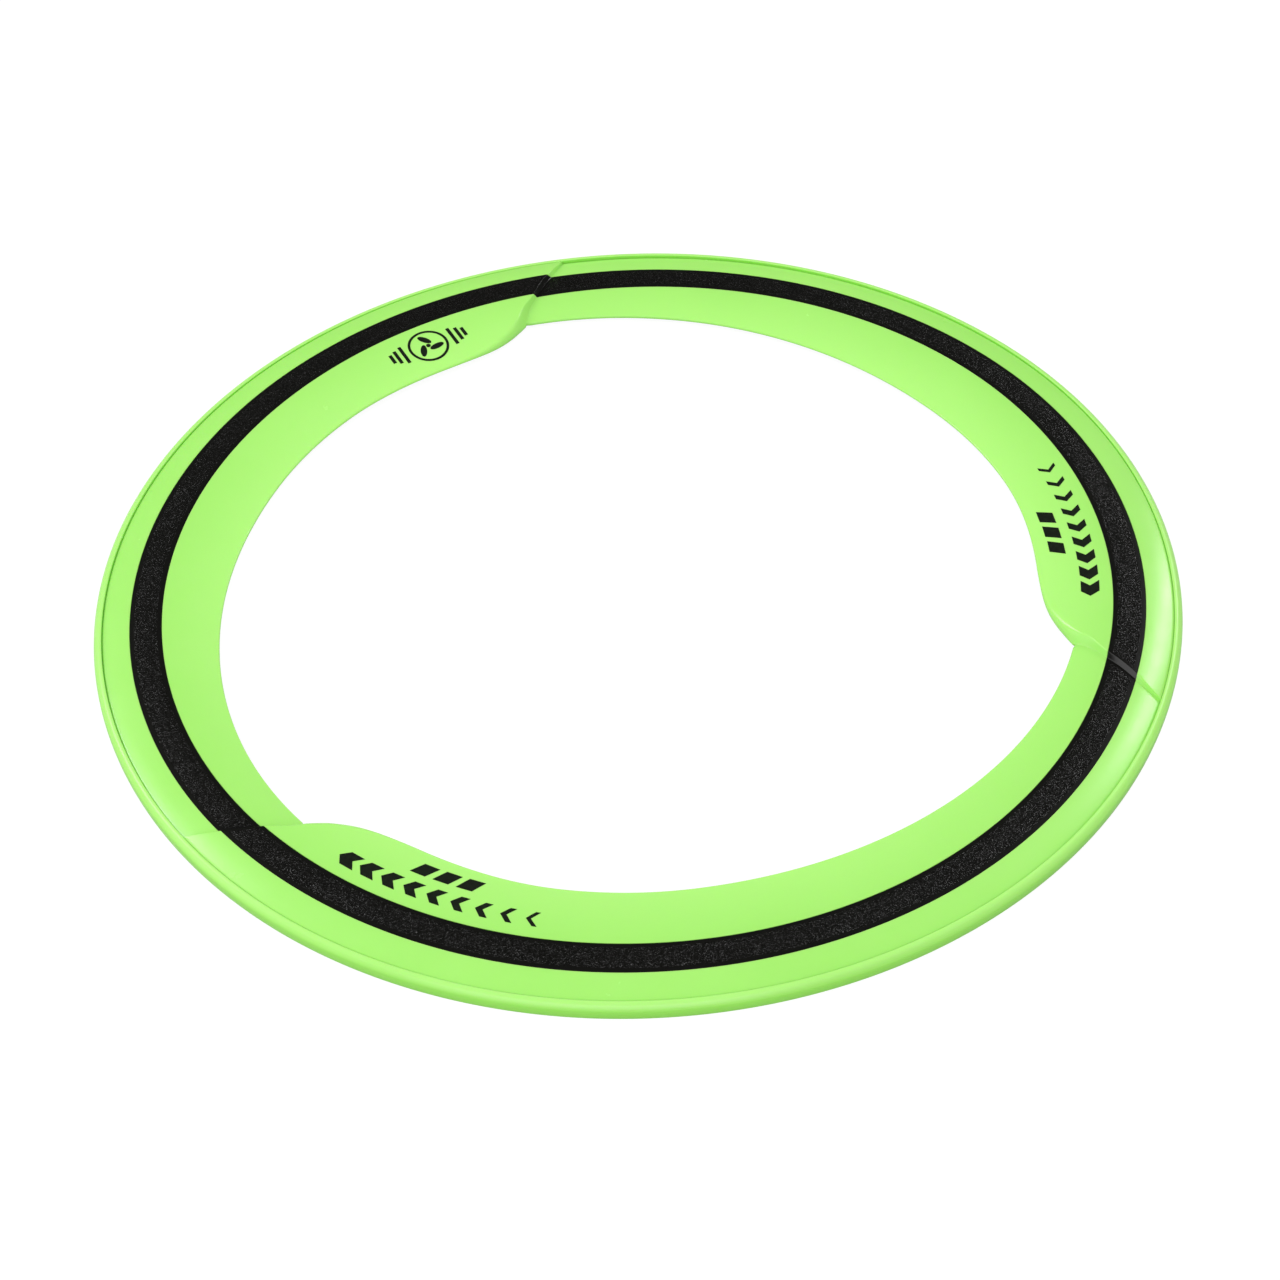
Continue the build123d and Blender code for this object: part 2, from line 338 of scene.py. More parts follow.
def top_sheet():
    """Upper surface as an array of (r, t, z), column by column."""
    sheet = []
    for kind, u, end_t in column_ends():
        r = row_radii(TOP_OUTER, float(inner_top_radius(end_t)))
        if kind == "lead":
            start = on_lead(r, "top_t")
            t = start + u * (LEAD_SPAN_T - start)
        elif kind == "body":
            t = np.full(ROWS, end_t)
        else:
            stop = PITCH + foot_angle(r) + np.degrees(EXTEND / r)
            t = TAIL_SPAN_T + u * (stop - TAIL_SPAN_T)
        z = surface_height(r, t)
        beside = np.clip((r - GROOVE_R + LIP_WIDTH) / LIP_WIDTH, 0, 1)
        z = z - LIP_DROP * beside ** LIP_POWER
        z[:len(RECESSED)] -= BAND_T * RECESSED
        if kind == "tail" and u == 1.0:
            r = np.minimum(r, GROOVE_R - TAIL_GAP)
        sheet.append(np.stack([r, t, z], 1))
    return np.array(sheet)


def under_sheet():
    """Lower surface with the hoop at the outside and the web behind the leading edge."""
    sheet = []
    first_r = row_radii(TOP_OUTER, float(inner_top_radius(LEAD["top_t"][-1])))
    out_r, out_t = on_lead(first_r, "out_r"), on_lead(first_r, "out_t")
    away_r = on_lead(first_r, "top_r") - out_r
    away_t = np.radians(on_lead(first_r, "top_t") - out_t) * out_r
    length = np.maximum(np.hypot(away_r, away_t), 1e-6)
    away_r, away_t = away_r / length, away_t / length

    def behind(distance):
        """Angle of the points at a distance behind the outline."""
        return out_t + np.degrees(distance * away_t / out_r)

    fade = smooth(out_t, 14, LEAD_END_T)
    under_tail = tail_height(out_r, out_t) - shell_thickness(out_r) - WEB_GAP
    web_z = np.maximum(np.where(out_r > TAIL_CROSS_R, under_tail, LIP_Z), LIP_Z)
    keep = smooth(np.arange(ROWS), 4, 12)
    base_r, base_t = out_r + EDGE_INSET * away_r, behind(EDGE_INSET)
    lead_end_r = float(inner_radius(LEAD["out_t"][-1])) + EDGE_INSET
    shift = base_r - row_radii(BOTTOM_OUTER, lead_end_r)
    for index, (kind, u, end_t) in enumerate(column_ends()):
        end_r = float(inner_radius(end_t)) + EDGE_INSET
        r = row_radii(BOTTOM_OUTER, end_r)
        if kind == "lead":
            t = base_t + u * (LEAD_SPAN_T - base_t)
            r = r + shift * (1 - smooth(u, 0, 0.25)) * keep
            offset = {1: WEB_FLAT, 2: WEB_FLAT + WEB_WALL}.get(index)
            if offset:
                off_r = out_r + offset * away_r
                r = r * fade + (1 - fade) * (off_r * keep + r * (1 - keep))
                t = t * fade + behind(offset) * (1 - fade)
            elif index > 2:
                wall_t = behind(WEB_FLAT + WEB_WALL) * (1 - fade) + base_t * fade
                t = wall_t + u * (LEAD_SPAN_T - wall_t)
        elif kind == "body":
            t = np.full(ROWS, end_t)
        else:
            stop = PITCH + foot_angle(r) + np.degrees(EXTEND / r)
            t = TAIL_SPAN_T + u * (stop - TAIL_SPAN_T)
        z = surface_height(r, t) - shell_thickness(r)
        edge_z = surface_height(inner_radius(t), t) - EDGE_T
        z = np.maximum(z, edge_z)
        if kind == "lead" and index < 2:
            z = web_z + (z - web_z) * smooth(out_t, 8, LEAD_END_T)
        z[:3] = BASE_Z
        z[0] += FOOT_RISE
        if kind == "tail" and u == 1.0:
            r = np.minimum(r, GROOVE_R - TAIL_GAP)
            z[:3] += TAIL_GAP
        sheet.append(np.stack([r, t, z], 1))
    return np.array(sheet)


STRIP = NOSE_ROWS + UNDER_ROWS
# Rows of the bevel as shares of its width, and of the outer wall with its tongue as how far
# they stand out and how high they lie.
BEVEL_X = np.array([0.95, 0.89, 0.82, 0.74, 0.62, 0.32, 0.12, 0.05, 0.0, -0.04])
BEVEL_FOOT = 0.1         # share of a blade's bevel that eases out of its foot
BEVEL_RIDGE = 0.4        # and into its ridge
BEVEL_DIP = 0.08         # its last row lies this far inside the tail in front
WALL_R = np.array([0.0, 0.0, 0.0, 0.0, 1.5, 1.5, 1.5, 1.5, 1.5, 0.0, 0.0, 0.0, 0.0])
WALL_Z = np.array([4.0, 3.8, 3.6, 3.4, 3.3, 3.0, 2.7, 2.4, 2.1, 2.1, 1.9, 1.7, 1.5])


def bevel_rise(x, foot=0.14, ridge=0.14):
    """Height share across a bevel that eases out of its foot and into its ridge."""
    x = np.clip(x, 0, 1)
    early, late = np.minimum(x, foot), np.clip(x - 1 + ridge, 0, None)
    rise = early ** 2 / (2 * foot) + np.clip(x - foot, 0, None) - late ** 2 / (2 * ridge)
    return rise / (1 - foot / 2 - ridge / 2)


def under_arc(start, end):
    """Rows of the rounding from the outline down to the underside."""
    q = np.arange(1, UNDER_ROWS + 1) / (UNDER_ROWS + 1) * (math.pi / 2)
    share = np.stack([1 - np.cos(q), 1 - np.cos(q), np.sin(q)], 1)
    return start + (end - start) * share


def nose_arc(top, nose):
    """Rows of the rounding from the upper surface down to the outline."""
    q = np.arange(1, NOSE_ROWS + 1) / NOSE_ROWS * (math.pi / 2)
    share = np.stack([np.sin(q), np.sin(q), 1 - np.cos(q)], 1)
    return top + (nose - top) * share


def lead_strip(top, under, recess):
    """Bevel over the tail in front, turning into a round nose past it."""
    out_r, out_t = float(on_lead(top[0], "out_r")), float(on_lead(top[0], "out_t"))
    over = out_r > TAIL_CROSS_R
    low = tail_height(out_r, out_t) if over else nose_height(out_t)
    outline = np.array([out_r, out_t, float(low) - (BAND_T if recess else 0)])
    bevel = np.empty((NOSE_ROWS, 3))
    bevel[:, :2] = outline[:2] + BEVEL_X[:, None] * (top[:2] - outline[:2])
    rise = bevel_rise(BEVEL_X, BEVEL_FOOT, BEVEL_RIDGE)
    bevel[:, 2] = outline[2] + rise * (top[2] - outline[2])
    bevel[-1, 2] -= BEVEL_DIP
    free = float(smooth(out_t, 6.2, 9.5))
    strip = bevel * (1 - free) + nose_arc(top, outline) * free
    return np.vstack([strip, under_arc(strip[-1], under)])


def inner_strip(top, under):
    """Rounding of the thin inner edge."""
    t = top[1]
    in_r = float(inner_radius(t))
    nose = np.array([in_r, t, float(surface_height(in_r, t)) - NOSE_DROP])
    return np.vstack([nose_arc(top, nose), under_arc(nose, under)])


def wall_strip(top, under):
    """Upright outer wall with the tongue that the rim is moulded onto."""
    share = np.linspace(0, 1, STRIP + 2)[1:-1]
    t = top[1] + (under[1] - top[1]) * share
    z = np.minimum(WALL_Z, top[2] - 0.1)
    return np.stack([top[0] + WALL_R, t, z], 1)


def end_strip(top, under):
    """Flat end of a tail, inside the next blade."""
    share = np.linspace(0, 1, STRIP + 2)[1:-1, None]
    return top + (under - top) * share


def blade_points(blade):
    """Points and faces of one closed blade."""
    top, under = top_sheet(), under_sheet()
    columns = len(top)
    last = columns - 1
    recessed = np.concatenate([RECESSED, np.zeros(INNER_COUNT, bool)])
    loop, strips = [], []
    for i in range(ROWS):
        loop.append((0, i))
        strips.append(lead_strip(top[0, i], under[0, i], recessed[i]))
    for c in range(1, last):
        loop.append((c, ROWS - 1))
        strips.append(inner_strip(top[c, -1], under[c, -1]))
    for i in range(ROWS - 1, -1, -1):
        loop.append((last, i))
        strips.append(end_strip(top[last, i], under[last, i]))
    for c in range(last - 1, 0, -1):
        loop.append((c, 0))
        strips.append(wall_strip(top[c, 0], under[c, 0]))
    flat = np.vstack([top.reshape(-1, 3), under.reshape(-1, 3)] + strips)
    points = to_xyz(flat[:, 0], flat[:, 1], flat[:, 2], blade)
    faces = grid_faces(ROWS, columns)
    base = ROWS * columns
    faces += [face[::-1] for face in grid_faces(ROWS, columns, base)]
    rings = []
    for k, (c, i) in enumerate(loop):
        start = c * ROWS + i
        strip = range(2 * base + k * STRIP, 2 * base + (k + 1) * STRIP)
        rings.append([start, *strip, base + start])
    for a, b in zip(rings, rings[1:] + rings[:1]):
        for j in range(STRIP + 1):
            faces.append((a[j], b[j], b[j + 1], a[j + 1]))
    return points, faces


def unite(parts, name):
    """Boolean union of overlapping closed objects into the first of them."""
    body = parts[0]
    for other in parts[1:]:
        step = body.modifiers.new("join", "BOOLEAN")
        step.operation = "UNION"
        step.solver = "EXACT"
        step.object = other
    graph = bpy.context.evaluated_depsgraph_get()
    mesh = bpy.data.meshes.new_from_object(body.evaluated_get(graph))
    for part in parts:
        bpy.data.objects.remove(part)
    mesh.name = name
    return add_object(name, mesh, CREASE)


blade_parts = []
for number in range(BLADES):
    points, faces = blade_points(number)
    blade_parts.append(make_object("blade_%d" % number, points, faces))
blades = unite(blade_parts, "blades")


# ---- rim -------------------------------------------------------------------------------
RIM_BULGE = 0.25         # how far the rim's side bows out
RIM_SHOULDER = 1.9       # rounding of the upper outer corner
RIM_CORNER = 0.7         # and of the lower one
RIM_LIP = 0.3            # and of the two inner ones
RIM_FOOT_R = RIM_R - 4.1  # inside of the rim's foot, under the hoop
RIM_COLUMNS = 720
RIM_CREASE = 35
EASE = 0.02              # the rim keeps this far off the blades
SLOT_EASE = 0.05         # and its slot this far off the tongue
TONGUE_BOTTOM = 2.1
TONGUE_TOP = 3.3


def fillet(cx, cz, radius, start, end, steps):
    """Arc of a profile round (cx, cz), from one angle to another in degrees."""
    a = np.radians(np.linspace(start, end, steps))
    return [(cx + radius * math.cos(x), cz + radius * math.sin(x)) for x in a]


def bow(z):
    """How far the rim's side bows out at a height."""
    x = (z - RIM_TOP / 2) / (RIM_TOP / 2 - RIM_CORNER)
    return RIM_BULGE * max(0.0, 1 - x * x)


def rim_profile():
    """Closed section of the rim as (radius, height), from the lip over the outside."""
    edge = RIM_R - RIM_BULGE
    inner = GROOVE_R + EASE
    line = fillet(inner + RIM_LIP, RIM_TOP - RIM_LIP, RIM_LIP, 180, 90, 6)
    shoulder = fillet(edge - RIM_SHOULDER, RIM_TOP - RIM_SHOULDER, RIM_SHOULDER, 90, 0, 14)
    line += [(x + bow(z), z) for x, z in shoulder]
    for z in np.linspace(RIM_TOP - RIM_SHOULDER - 0.4, RIM_CORNER + 0.6, 6):
        line.append((edge + bow(z), z))
    line += fillet(edge - RIM_CORNER, RIM_CORNER, RIM_CORNER, -8, -90, 8)
    line += fillet(RIM_FOOT_R + RIM_LIP, RIM_LIP, RIM_LIP, -90, -180, 5)
    ledge = BASE_Z - EASE
    slot_r = TONGUE_R + SLOT_EASE
    slot_low, slot_high = TONGUE_BOTTOM - SLOT_EASE, TONGUE_TOP + SLOT_EASE
    line += [(RIM_FOOT_R, ledge - 0.1), (RIM_FOOT_R + 0.1, ledge), (inner, ledge)]
    line += [(inner, slot_low), (slot_r, slot_low), (slot_r, slot_high), (inner, slot_high)]
    return line


def rim_mesh():
    angles = np.linspace(0, 360, RIM_COLUMNS, endpoint=False)
    r, z = np.array(rim_profile()).T
    points = np.vstack([to_xyz(r, np.full(len(r), a), z) for a in angles])
    return make_object("rim", points, hoop_faces(len(r), RIM_COLUMNS), RIM_CREASE)


rim = rim_mesh()


# ---- grip bands ------------------------------------------------------------------------
BAND_SIDE = 0.06         # clearance beside a band
BAND_RISE = 0.03         # how far it stands proud of the blade
BAND_SKIN = 0.74         # and how deep it reaches into its recess
BAND_BORDER = 1.3        # width of the smooth border beside the grained field
BAND_LEAD = 0.3          # degrees from the top edge to the field
BAND_END = 0.45          # and from the field to the band's end
FIELD_COLUMNS = 150


def band_section():
    """Radii across a band, each with its height above the surface it lies on."""
    low, high = BAND_INNER_R + BAND_SIDE, BAND_OUTER_R - BAND_SIDE
    fine = low + np.array([0.25, 0.6, 0.95, 1.25, 1.35, 1.8])
    middle = np.linspace(low + 2.4, high - 2.4, 6)
    coarse = high - np.array([1.8, 1.35, 1.25, 0.95, 0.6, 0.25])
    top = [(low, -0.14), (low + 0.03, -0.06), (low + 0.1, 0.0)]
    top += [(r, 0.0) for r in np.concatenate([fine, middle, coarse])]
    top += [(high - 0.1, 0.0), (high - 0.03, -0.06), (high, -0.14)]
    return np.array(top)


BAND_BEVEL_X = (
    0.0, 0.03, 0.06, 0.09, 0.13, 0.2, 0.35, 0.5, 0.65, 0.8, 0.87, 0.91, 0.94, 0.97, 1.0,
)


def band_columns():
    """Places along a band: shares of the bevel and the field, degrees on their borders."""
    places = [("bevel", x) for x in BAND_BEVEL_X]
    places += [("body", x) for x in (0.06, 0.14, 0.22)]
    places += [("field", x) for x in np.linspace(0, 1, FIELD_COLUMNS)]
    places += [("end", x) for x in (0.36, 0.2, 0.08, 0.04)]
    return places


def band_mesh(blade):
    section = band_section()
    r, lift = section.T
    foot, ridge = foot_angle(r), on_lead(r, "top_t")
    stop = PITCH + foot
    low, high = tail_height(r, foot), surface_height(r, ridge)
    inside = (r > r[0] + BAND_BORDER) & (r < r[-1] - BAND_BORDER)
    places = band_columns()
    top, bottom, grain, bevel = [], [], [], []
    for kind, x in places:
        if kind == "bevel":
            t = foot + x * (ridge - foot)
            z = low + bevel_rise(x) * (high - low)
        else:
            if kind == "body":
                t = ridge + x
            elif kind == "field":
                t = ridge + BAND_LEAD + x * (stop - BAND_END - ridge - BAND_LEAD)
            else:
                t = stop - x
            z = surface_height(r, t)
        at_end = (kind, x) in (("bevel", BAND_BEVEL_X[0]), ("end", 0.04))
        z = z + BAND_RISE - (BAND_RISE if at_end else 0.0)
        top.append(to_xyz(r, t, z + lift, blade))
        bottom.append(to_xyz(r, t, z - BAND_SKIN, blade))
        grain.append(inside * float(kind == "field"))
        bevel.append(np.full(len(r), float(kind == "bevel")))
    faces = slab_faces(len(r), len(places))
    obj = make_object("grip_%d" % (blade + 1), np.vstack(top + bottom), faces)
    for name, values in (("grain", grain), ("bevel", bevel)):
        layer = obj.data.attributes.new(name, "FLOAT", "POINT")
        values = np.concatenate(values + [np.zeros(len(r) * len(places))])
        layer.data.foreach_set("value", values.astype(np.float32))
    return obj


bands = [band_mesh(number) for number in range(BLADES)]


# ---- printed marks ---------------------------------------------------------------------
CHEVRON_R = RIM_R - 27.5  # long row of chevrons, which point at the leading edge
CHEVRON_COUNT = 9
CHEVRON_START = 15.5
CHEVRON_PITCH = 3.0
CHEVRON_H = 5.5
CHEVRON_DEPTH = 2.2
CHEVRON_WIDE = 4.6       # stroke of the first one
CHEVRON_NARROW = 1.4     # and of the last one
BLOCK_R = RIM_R - 35.5   # short row of slanted blocks
BLOCK_COUNT = 3
BLOCK_START = 23.4
BLOCK_PITCH = 3.1
BLOCK_H = 4.6
BLOCK_W = 4.8
SPINNER_R = RIM_R - 30.8  # round mark with three vanes
SPINNER_T = 22.4
SPINNER_RADIUS = 7.0
SPINNER_LINE = 0.9
VANES = 3
VANE_LENGTH = 5.2
VANE_WIDTH = 2.2
VANE_OFFSET = 2.9
VANE_SLANT = 35
HUB_RADIUS = 0.8
DASH_OFFSETS = (9.2, 11.6, 13.6)     # bars beside the round mark, from its centre
DASH_W = 1.2
DASH_H = 8.0             # first bar; each next one is shorter
DASH_STEP = 2.0
INK_LOW, INK_HIGH = -0.05, 0.035     # an ink film's faces, from the blade's surface


def on_blade(u, v, radius, t):
    """Plan points (r, t) of local ones: u outward, v counter-clockwise, at (radius, t)."""
    x, y = radius + np.asarray(u, float), np.asarray(v, float)
    return np.hypot(x, y), t + np.degrees(np.arctan2(y, x))


def film(rows, radius, t, blade, store):
    """Thin closed film of ink draped on a blade over a grid of local plan points."""
    grid = np.array(rows, float)
    n, m = grid.shape[:2]
    r, a = on_blade(grid[..., 0].ravel(), grid[..., 1].ravel(), radius, t)
    z = surface_height(r, a)
    store["faces"] += slab_faces(m, n, len(store["points"]))
    store["points"] += list(to_xyz(r, a, z + INK_HIGH, blade))
    store["points"] += list(to_xyz(r, a, z + INK_LOW, blade))


def ring_film(inner, outer, radius, t, blade, store, columns=80):
    """Closed round film of ink between two radii about a local plan point."""
    across = [inner, (inner + outer) / 2, outer]
    section = [(q, INK_HIGH) for q in across] + [(q, INK_LOW) for q in across[::-1]]
    reach, lift = np.array(section).T
    store["faces"] += hoop_faces(len(section), columns, len(store["points"]))
    for c in range(columns):
        a = math.tau * c / columns
        r, turn = on_blade(reach * math.cos(a), reach * math.sin(a), radius, t)
        store["points"] += list(to_xyz(r, turn, surface_height(r, turn) + lift, blade))


def quad_film(corners, radius, t, blade, store, steps=8):
    """Film over a quadrilateral of local plan points."""
    a, b, c, d = [np.array(p, float) for p in corners]
    rows = []
    for x in np.linspace(0, 1, steps):
        left, right = a + (d - a) * x, b + (c - b) * x
        rows.append([left + (right - left) * y for y in np.linspace(0, 1, steps)])
    film(rows, radius, t, blade, store)


def row_mark(blade):
    store = {"points": [], "faces": []}
    for i in range(CHEVRON_COUNT):
        share = i / (CHEVRON_COUNT - 1)
        width = CHEVRON_WIDE + (CHEVRON_NARROW - CHEVRON_WIDE) * share
        h, t = CHEVRON_H / 2, CHEVRON_START + i * CHEVRON_PITCH
        rows = []
        for u in np.linspace(-h, h, 13):
            lean = CHEVRON_DEPTH * (abs(u) / h - 1)
            rows.append([(u, lean + v) for v in np.linspace(0, width, 6)])
        film(rows, CHEVRON_R, t, blade, store)
    for i in range(BLOCK_COUNT):
        h, s = BLOCK_H / 2, CHEVRON_DEPTH / 2
        corners = [(-h, s), (-h, BLOCK_W + s), (h, BLOCK_W - s), (h, -s)]
        quad_film(corners, BLOCK_R, BLOCK_START + i * BLOCK_PITCH, blade, store)
    return make_object("mark_rows_%d" % blade, store["points"], store["faces"])


def spinner_mark(blade):
    store = {"points": [], "faces": []}
    inner = SPINNER_RADIUS - SPINNER_LINE
    ring_film(inner, SPINNER_RADIUS, SPINNER_R, SPINNER_T, blade, store)
    shapes = [((0.0, 0.0), HUB_RADIUS, HUB_RADIUS, 0.0)]
    for i in range(VANES):
        turn = i * 360 / VANES
        a = math.radians(turn)
        middle = (VANE_OFFSET * math.cos(a), VANE_OFFSET * math.sin(a))
        shapes.append((middle, VANE_LENGTH / 2, VANE_WIDTH / 2, turn + VANE_SLANT))
    for (cx, cy), long, short, turn in shapes:
        c, s = math.cos(math.radians(turn)), math.sin(math.radians(turn))
        rows = []
        for x in np.sin(np.linspace(-1.45, 1.45, 15)):
            half = short * math.sqrt(1 - x * x)
            line = []
            for y in np.linspace(-half, half, 6):
                line.append((cx + c * long * x - s * y, cy + s * long * x + c * y))
            rows.append(line)
        film(rows, SPINNER_R, SPINNER_T, blade, store)
    for i, offset in enumerate(DASH_OFFSETS):
        h = (DASH_H - i * DASH_STEP) / 2
        for side in (offset, -offset):
            v0, v1 = side - DASH_W / 2, side + DASH_W / 2
            corners = [(-h, v0), (-h, v1), (h, v1), (h, v0)]
            quad_film(corners, SPINNER_R, SPINNER_T, blade, store)
    return make_object("mark_spinner", store["points"], store["faces"])


marks = [spinner_mark(0), row_mark(1), row_mark(2)]


# ---- materials -------------------------------------------------------------------------
def new_material(name):
    mat = bpy.data.materials.new(name)
    mat.use_nodes = True
    tree = mat.node_tree
    return mat, tree, tree.nodes["Principled BSDF"]


def add(tree, kind, **values):
    """Node of a kind, with its plain properties or named inputs set."""
    node = tree.nodes.new(kind)
    for key, value in values.items():
        if hasattr(node, key):
            setattr(node, key, value)
        else:
            node.inputs[key.replace("_", " ")].default_value = value
    return node


def noise(tree, where, scale, detail=3.0, rough=0.5):
    node = add(tree, "ShaderNodeTexNoise", Scale=scale, Detail=detail, Roughness=rough)
    tree.links.new(where, node.inputs["Vector"])
    return node.outputs["Fac"]


def ramp(tree, value, low, high, out_low, out_high):
    node = add(
        tree, "ShaderNodeMapRange", From_Min=low, From_Max=high, To_Min=out_low, To_Max=out_high
    )
    tree.links.new(value, node.inputs["Value"])
    return node.outputs["Result"]


def mix(tree, share, first, second):
    """Colour between two, by a share; each may be a socket or a colour."""
    node = add(tree, "ShaderNodeMix", data_type="RGBA")
    sockets = [node.inputs[0], node.inputs[6], node.inputs[7]]
    for socket, value in zip(sockets, (share, first, second)):
        if isinstance(value, bpy.types.NodeSocket):
            tree.links.new(value, socket)
        elif isinstance(value, tuple):
            socket.default_value = value + (1.0,)
        else:
            socket.default_value = value
    return node.outputs[2]


def bump(tree, bsdf, heights):
    """Chain of bumps from (height, strength, distance in metres)."""
    last = None
    for height, strength, distance in heights:
        node = add(tree, "ShaderNodeBump", Distance=distance)
        if isinstance(strength, bpy.types.NodeSocket):
            tree.links.new(strength, node.inputs["Strength"])
        else:
            node.inputs["Strength"].default_value = strength
        tree.links.new(height, node.inputs["Height"])
        if last:
            tree.links.new(last, node.inputs["Normal"])
        last = node.outputs["Normal"]
    tree.links.new(last, bsdf.inputs["Normal"])


def plan_radius(tree, where):
    """Distance from the ring's axis."""
    flat = add(tree, "ShaderNodeVectorMath", operation="MULTIPLY")
    flat.inputs[1].default_value = (1, 1, 0)
    tree.links.new(where, flat.inputs[0])
    length = add(tree, "ShaderNodeVectorMath", operation="LENGTH")
    tree.links.new(flat.outputs["Vector"], length.inputs[0])
    return length.outputs["Value"]


def plastic(name, base, shade, thin, side, rough, grain):
    """Moulded lime plastic: cloudy, lighter towards the thin inner edge by a painted glow of light
    shining through it, deeper where steep by painted shade, fine grain.
    """
    mat, tree, bsdf = new_material(name)
    where = add(tree, "ShaderNodeTexCoord").outputs["Object"]
    cloud = ramp(tree, noise(tree, where, 22, 4), 0.3, 0.7, 0, 1)
    body = mix(tree, cloud, base, shade)
    # Painted light: the thin colour is mixed in towards the inner edge as a painted glow of light
    # shining through the thin plastic there.
    edge = ramp(tree, plan_radius(tree, where), 0.125, 0.143, 1, 0)
    normal = add(tree, "ShaderNodeSeparateXYZ")
    geometry = add(tree, "ShaderNodeNewGeometry")
    tree.links.new(geometry.outputs["Normal"], normal.inputs["Vector"])
    # Painted shade: faces that turn towards upright take the darker side colour, shade painted
    # where less light reaches them.
    steep_shade = ramp(tree, normal.outputs["Z"], 0.15, 0.8, 1, 0)
    colour = mix(tree, steep_shade, mix(tree, edge, body, thin), side)
    tree.links.new(colour, bsdf.inputs["Base Color"])
    fine = noise(tree, where, 1500, 2)
    wave = noise(tree, where, 60, 2)
    rub = noise(tree, where, 90, 4, 0.6)
    tree.links.new(ramp(tree, rub, 0.35, 0.75, rough, rough + 0.06), bsdf.inputs["Roughness"])
    bump(tree, bsdf, ((fine, grain, 0.00005), (wave, 0.06, 0.0003)))
    bsdf.inputs["Specular IOR Level"].default_value = 0.5
    bsdf.inputs["Subsurface Weight"].default_value = 0.3
    bsdf.inputs["Subsurface Radius"].default_value = (0.6, 1.0, 0.25)
    bsdf.inputs["Subsurface Scale"].default_value = 0.0015
    return mat


def grip_rubber(name):
    """Near-black rubber whose field sparkles with coarse grain inside a smooth border."""
    mat, tree, bsdf = new_material(name)
    where = add(tree, "ShaderNodeTexCoord").outputs["Object"]
    field = add(tree, "ShaderNodeAttribute", attribute_name="grain").outputs["Fac"]
    bevel = add(tree, "ShaderNodeAttribute", attribute_name="bevel").outputs["Fac"]
    cells = add(tree, "ShaderNodeTexVoronoi", Scale=3600.0)
    tree.links.new(where, cells.inputs["Vector"])
    split = add(tree, "ShaderNodeSeparateColor")
    tree.links.new(cells.outputs["Color"], split.inputs["Color"])
    speck = noise(tree, where, 2400, 2, 0.6)
    patchy = ramp(tree, speck, 0.35, 0.7, 0, 1)
    tone = mix(tree, patchy, (0.003, 0.003, 0.0025), (0.008, 0.008, 0.007))
    colour = mix(tree, field, (0.005, 0.005, 0.004), tone)
    tree.links.new(colour, bsdf.inputs["Base Color"])
    glint = ramp(tree, split.outputs["Red"], 0.5, 1.0, 0.03, 1.0)
    shine = mix(tree, field, mix(tree, bevel, (0.2, 0.2, 0.2), (0.6, 0.6, 0.6)), glint)
    tree.links.new(shine, bsdf.inputs["Specular IOR Level"])
    smooth_rough = mix(tree, bevel, (0.3, 0.3, 0.3), (0.16, 0.16, 0.16))
    rough = mix(tree, field, smooth_rough, ramp(tree, speck, 0.4, 0.7, 0.30, 0.2))
    tree.links.new(rough, bsdf.inputs["Roughness"])
    strength = add(tree, "ShaderNodeMath", operation="MULTIPLY")
    strength.inputs[1].default_value = 0.9
    tree.links.new(field, strength.inputs[0])
    coarse = (cells.outputs["Distance"], strength.outputs[0], 0.00009)
    grains = (coarse, (speck, strength.outputs[0], 0.00011))
    bump(tree, bsdf, grains)
    return mat


def ink(name):
    """Dark printed ink that lets a little of the plastic's tone through where it is thin."""
    mat, tree, bsdf = new_material(name)
    where = add(tree, "ShaderNodeTexCoord").outputs["Object"]
    thin = noise(tree, where, 900, 4, 0.6)
    worn = ramp(tree, thin, 0.45, 0.8, 0, 1)
    colour = mix(tree, worn, (0.004, 0.008, 0.002), (0.008, 0.02, 0.004))
    tree.links.new(colour, bsdf.inputs["Base Color"])
    tree.links.new(ramp(tree, thin, 0.3, 0.7, 0.42, 0.6), bsdf.inputs["Roughness"])
    bump(tree, bsdf, ((thin, 0.15, 0.00005),))
    bsdf.inputs["Specular IOR Level"].default_value = 0.3
    return mat


def dress(obj, mat, body_slot, *nodes):
    """Give a piece its material, hang it under the root body, and hide the CAD nodes it stands in
    for.
    """
    obj.data.materials.clear()
    obj.data.materials.append(mat)
    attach(obj, "root")
    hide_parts(*nodes)


# Each look's colours are its base, a second cloud tone, the painted glow of light at the thin
# inner edge, and the painted shade of steep faces.
blade_look = plastic(
    "lime_blade",
    (0.35, 0.78, 0.145), (0.37, 0.80, 0.158), (0.42, 0.87, 0.19), (0.34, 0.78, 0.14),
    0.22, 0.18,
)
rim_look = plastic(
    "lime_rim",
    (0.40, 0.82, 0.18), (0.42, 0.84, 0.195), (0.42, 0.84, 0.195), (0.29, 0.73, 0.09),
    0.28, 0.1,
)
grip_look = grip_rubber("grip_black")
ink_look = ink("ink_black")
dress(blades, blade_look, "blade_plastic", "blade_ring")
dress(rim, rim_look, "rim_rubber", "rim_bumper")
for number in range(BLADES):
    dress(bands[number], grip_look, "grip_rubber", "grip_band_%d" % (number + 1))
    dress(marks[number], ink_look, "print_ink", "print_mark_%d" % (number + 1))


# ---- floor, light and camera -----------------------------------------------------------
# name, place and size in metres, radiance
LAMPS = (
    ("key", (0.89, 0.95, 1.03), (0.12, 0.60), 18.0),
    ("left", (-1.03, 0.61, 1.04), (0.35, 0.60), 9.5),
    ("side", (-1.17, -0.17, 0.50), (0.60, 0.50), 1.4),
    ("front", (-0.2, -1.2, 1.0), (1.4, 1.1), 1.9),
)


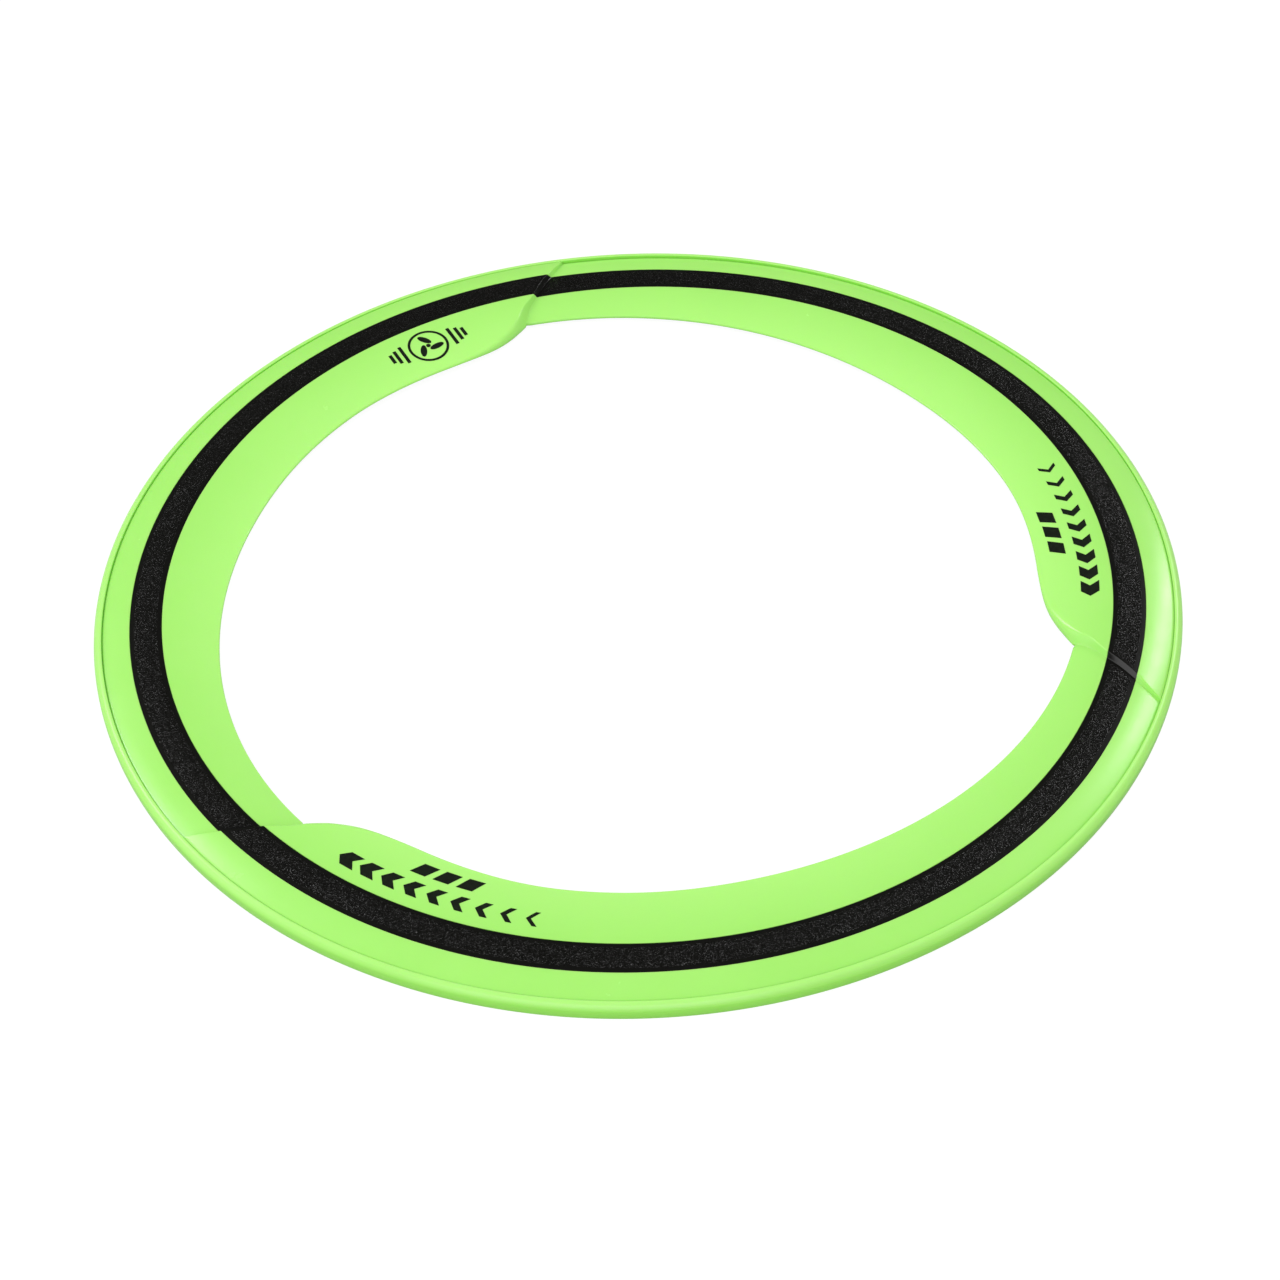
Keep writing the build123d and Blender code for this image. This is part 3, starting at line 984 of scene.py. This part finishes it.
def floor_and_light():
    mesh = bpy.data.meshes.new("floor")
    s = 6.0
    corners = [(-s, -s, -1e-5), (s, -s, -1e-5), (s, s, -1e-5), (-s, s, -1e-5)]
    mesh.from_pydata(corners, [], [(0, 1, 2, 3)])
    floor = bpy.data.objects.new("floor", mesh)
    bpy.context.scene.collection.objects.link(floor)
    mesh.materials.append(floor_look())
    for name, place, size, radiance in LAMPS:
        lamp = bpy.data.lights.new(name, "AREA")
        lamp.shape = "RECTANGLE"
        lamp.size, lamp.size_y = size
        lamp.energy = radiance * math.pi * size[0] * size[1]
        obj = bpy.data.objects.new(name, lamp)
        obj.location = place
        obj.rotation_euler = (-Vector(place)).to_track_quat("-Z", "Y").to_euler()
        bpy.context.scene.collection.objects.link(obj)


def floor_look():
    """Pale floor that glows a little to the camera, so that its shadows stay faint."""
    mat, tree, bsdf = new_material("floor_white")
    bsdf.inputs["Roughness"].default_value = 0.9
    bsdf.inputs["Specular IOR Level"].default_value = 0.0
    seen = add(tree, "ShaderNodeLightPath").outputs["Is Camera Ray"]
    tree.links.new(mix(tree, seen, (0.6, 0.6, 0.6), (0.12, 0.12, 0.12)), bsdf.inputs["Base Color"])
    bsdf.inputs["Emission Color"].default_value = (1, 1, 1, 1)
    tree.links.new(ramp(tree, seen, 0, 1, 0, 0.93), bsdf.inputs["Emission Strength"])
    return mat


def white_world():
    world = bpy.data.worlds.new("tent")
    world.use_nodes = True
    tree = world.node_tree
    back = tree.nodes["Background"]
    path = add(tree, "ShaderNodeLightPath")
    soft = ramp(tree, path.outputs["Is Glossy Ray"], 0, 1, 0.74, 0.055)
    strength = add(tree, "ShaderNodeMath", operation="MAXIMUM")
    tree.links.new(soft, strength.inputs[0])
    tree.links.new(path.outputs["Is Camera Ray"], strength.inputs[1])
    back.inputs["Color"].default_value = (1, 1, 1, 1)
    tree.links.new(strength.outputs[0], back.inputs["Strength"])
    bpy.context.scene.world = world


def place_camera():
    eye = Vector((0.00046, -0.5738, 0.5456))
    target = Vector((0.00046, -0.0299, 0.0062))
    lens, width, roll = 72.5, 36.0, math.radians(-2.556)
    forward = (target - eye).normalized()
    right = forward.cross(Vector((0, 0, 1))).normalized()
    up = right.cross(forward)
    turned_right = math.cos(roll) * right + math.sin(roll) * up
    turned_up = -math.sin(roll) * right + math.cos(roll) * up
    cam = bpy.data.cameras.new("camera")
    cam.lens, cam.sensor_width = lens, width
    cam.clip_start, cam.clip_end = 0.01, 50
    obj = bpy.data.objects.new("camera", cam)
    rot = Matrix((turned_right, turned_up, -forward)).transposed().to_4x4()
    obj.matrix_world = Matrix.Translation(eye) @ rot
    bpy.context.scene.collection.objects.link(obj)
    bpy.context.scene.camera = obj


floor_and_light()
white_world()
place_camera()
bpy.context.scene.view_settings.view_transform = "Standard"
